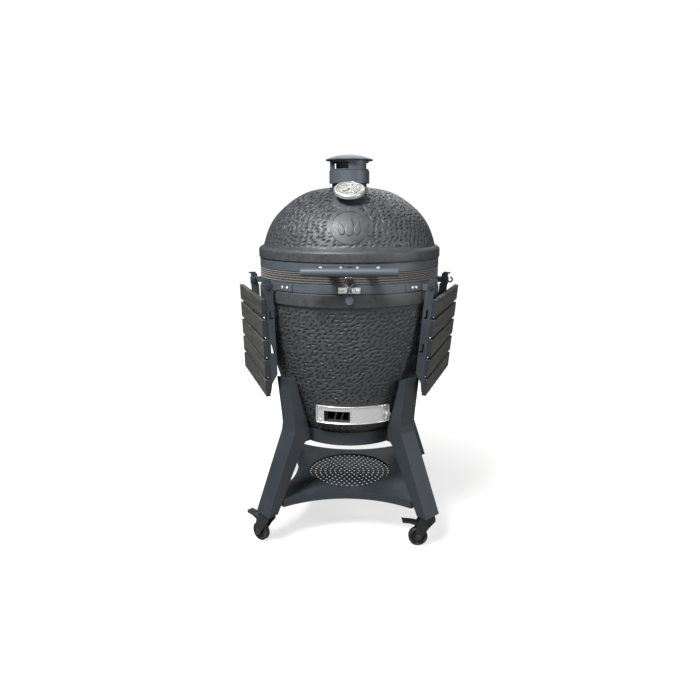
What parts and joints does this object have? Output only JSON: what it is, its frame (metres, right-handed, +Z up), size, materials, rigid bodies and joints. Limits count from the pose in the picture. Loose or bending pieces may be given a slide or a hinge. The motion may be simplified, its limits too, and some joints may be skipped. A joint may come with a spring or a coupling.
{
  "type": "kamado ceramic grill",
  "caption": "Egg-shaped ceramic charcoal grill with hinged dome, flue damper, draft door, folding slatted side tables and a four-legged rolling cart.",
  "frame": {"origin": "on the floor under the egg's vertical axis, at the bottom centre of the bounding box", "axes": "+Z up, -Y towards the front (handle, latch and draft vent), +X to the right seen from the front"},
  "size_m": [0.7757, 0.704, 1.1995],
  "materials": {
    "shell_ceramic": "textured matte glaze",
    "inner_ceramic": "unglazed",
    "felt": "pressed felt",
    "band_coat": "fine powder coat",
    "cast_iron": "raw",
    "stainless": "brushed",
    "chrome": "bright",
    "latch_coat": "satin",
    "black_steel": "satin black",
    "rail_coat": "powder coat",
    "dial_white": "matte",
    "needle_black": "matte",
    "dial_glass": "clear",
    "slat_composite": "weathered",
    "cart_coat": "satin powder coat",
    "caster_black": "satin",
    "caster_tyre": "matte"
  },
  "bodies": {
    "grill": {"ash_screen": "stainless", "base_gasket": "felt", "base_screws": "stainless", "base_shell": "shell_ceramic", "cart_bolts": "black_steel", "cart_ring": "cart_coat", "cart_shelf": "cart_coat", "fire_grate": "cast_iron", "fire_ring": "inner_ceramic", "firebox": "inner_ceramic", "hinge_base": "band_coat", "hinge_pin": "stainless", "hinge_springs": "black_steel", "latch_plate": "stainless", "leg_front_left": "cart_coat", "leg_front_right": "cart_coat", "leg_rear_left": "cart_coat", "leg_rear_right": "cart_coat", "lower_band": "band_coat", "table_bolts": "black_steel", "table_brackets": "band_coat", "tool_hook": "black_steel", "vent_frame": "stainless"},
    "lid": {"dome_shell": "shell_ceramic", "dome_gasket": "felt", "upper_band": "band_coat", "hinge_lid": "band_coat", "handle_bar": "band_coat", "handle_brackets": "band_coat", "latch_catch": "black_steel", "lid_screws": "stainless", "damper_base": "band_coat", "thermometer_case": "stainless", "thermometer_bezel": "stainless", "thermometer_dial": "dial_white", "thermometer_glass": "dial_glass"},
    "damper": {"damper_sleeve": "band_coat", "damper_cap": "band_coat"},
    "needle": {"thermometer_needle": "needle_black"},
    "latch_lever": {"latch_lever": "latch_coat"},
    "latch_bail": {"latch_bail": "chrome"},
    "draft_door": {"vent_door": "stainless", "vent_knob": "stainless"},
    "right_table": {"right_table_rails": "rail_coat", "right_table_slats": "slat_composite"},
    "left_table": {"left_table_rails": "rail_coat", "left_table_slats": "slat_composite"},
    "cooking_grid": {"cooking_grid": "stainless"},
    "caster_front_left": {"caster_front_left_fork": "caster_black"},
    "wheel_front_left": {"caster_front_left_wheel": "caster_tyre"},
    "brake_front_left": {"caster_front_left_brake": "caster_black"},
    "caster_front_right": {"caster_front_right_fork": "caster_black"},
    "wheel_front_right": {"caster_front_right_wheel": "caster_tyre"},
    "brake_front_right": {"caster_front_right_brake": "caster_black"},
    "caster_rear_right": {"caster_rear_right_fork": "caster_black"},
    "wheel_rear_right": {"caster_rear_right_wheel": "caster_tyre"},
    "brake_rear_right": {"caster_rear_right_brake": "caster_black"},
    "caster_rear_left": {"caster_rear_left_fork": "caster_black"},
    "wheel_rear_left": {"caster_rear_left_wheel": "caster_tyre"},
    "brake_rear_left": {"caster_rear_left_brake": "caster_black"}
  },
  "joints": [
    {"name": "lid_hinge", "type": "hinge", "parent": "grill", "child": "lid", "pos_m": [0, 0.341, 0.842], "axis": [-1, 0, 0], "range_deg": [0, 70]},
    {"name": "damper_turn", "type": "hinge", "parent": "lid", "child": "damper", "pos_m": [0, 0, 1.165], "axis": [0, 0, 1], "range_deg": [0, 60]},
    {"name": "needle_turn", "type": "hinge", "parent": "lid", "child": "needle", "pos_m": [0, -0.18, 1.09], "axis": [0, 0.4848, -0.8746], "range_deg": [0, 270]},
    {"name": "latch_lever_turn", "type": "hinge", "parent": "grill", "child": "latch_lever", "pos_m": [0, -0.297, 0.812], "axis": [-1, 0, 0], "range_deg": [0, 120]},
    {"name": "latch_bail_turn", "type": "hinge", "parent": "latch_lever", "child": "latch_bail", "pos_m": [0, -0.297, 0.8035], "axis": [-1, 0, 0], "range_deg": [-150, 0]},
    {"name": "draft_door_slide", "type": "hinge", "parent": "grill", "child": "draft_door", "pos_m": [0, 0, 0.412], "axis": [0, 0, -1], "range_deg": [0, 22.9]},
    {"name": "right_table_fold", "type": "hinge", "parent": "grill", "child": "right_table", "pos_m": [0.27881, -0.09329, 0.807], "axis": [-0.3173, -0.9483, 0], "range_deg": [0, 95]},
    {"name": "left_table_fold", "type": "hinge", "parent": "grill", "child": "left_table", "pos_m": [-0.27881, -0.09329, 0.807], "axis": [-0.3173, 0.9483, 0], "range_deg": [0, 91.5]},
    {"name": "cooking_grid_lift", "type": "slide", "parent": "grill", "child": "cooking_grid", "axis": [0, 0, 1], "range_m": [0, 0.08]},
    {"name": "caster_front_left_swivel", "type": "hinge", "parent": "grill", "child": "caster_front_left", "pos_m": [-0.25874, -0.24597, 0.098], "axis": [0, 0, 1], "continuous": true},
    {"name": "caster_front_left_roll", "type": "hinge", "parent": "caster_front_left", "child": "wheel_front_left", "pos_m": [-0.28173, -0.22668, 0.03], "axis": [0.6428, 0.766, 0], "continuous": true},
    {"name": "caster_front_left_brake", "type": "hinge", "parent": "caster_front_left", "child": "brake_front_left", "pos_m": [-0.28096, -0.22733, 0.074], "axis": [-0.6428, -0.766, 0], "range_deg": [0, 12]},
    {"name": "caster_front_right_swivel", "type": "hinge", "parent": "grill", "child": "caster_front_right", "pos_m": [0.24597, -0.25874, 0.098], "axis": [0, 0, 1], "continuous": true},
    {"name": "caster_front_right_roll", "type": "hinge", "parent": "caster_front_right", "child": "wheel_front_right", "pos_m": [0.21599, -0.25979, 0.03], "axis": [-0.0349, 0.9994, 0], "continuous": true},
    {"name": "caster_front_right_brake", "type": "hinge", "parent": "caster_front_right", "child": "brake_front_right", "pos_m": [0.21699, -0.25976, 0.074], "axis": [0.0349, -0.9994, 0], "range_deg": [0, 12]},
    {"name": "caster_rear_right_swivel", "type": "hinge", "parent": "grill", "child": "caster_rear_right", "pos_m": [0.25874, 0.24597, 0.098], "axis": [0, 0, 1], "continuous": true},
    {"name": "caster_rear_right_roll", "type": "hinge", "parent": "caster_rear_right", "child": "wheel_rear_right", "pos_m": [0.22904, 0.25014, 0.03], "axis": [0.1392, 0.9903, 0], "continuous": true},
    {"name": "caster_rear_right_brake", "type": "hinge", "parent": "caster_rear_right", "child": "brake_rear_right", "pos_m": [0.23003, 0.25, 0.074], "axis": [-0.1392, -0.9903, 0], "range_deg": [0, 12]},
    {"name": "caster_rear_left_swivel", "type": "hinge", "parent": "grill", "child": "caster_rear_left", "pos_m": [-0.24597, 0.25874, 0.098], "axis": [0, 0, 1], "continuous": true},
    {"name": "caster_rear_left_roll", "type": "hinge", "parent": "caster_rear_left", "child": "wheel_rear_left", "pos_m": [-0.25865, 0.28593, 0.03], "axis": [0.9063, 0.4226, 0], "continuous": true},
    {"name": "caster_rear_left_brake", "type": "hinge", "parent": "caster_rear_left", "child": "brake_rear_left", "pos_m": [-0.25822, 0.28503, 0.074], "axis": [-0.9063, -0.4226, 0], "range_deg": [0, 12]}
  ],
  "couplings": [
    {"joint": "latch_bail_turn", "follows": "latch_lever_turn", "ratio": -1.2}
  ]
}
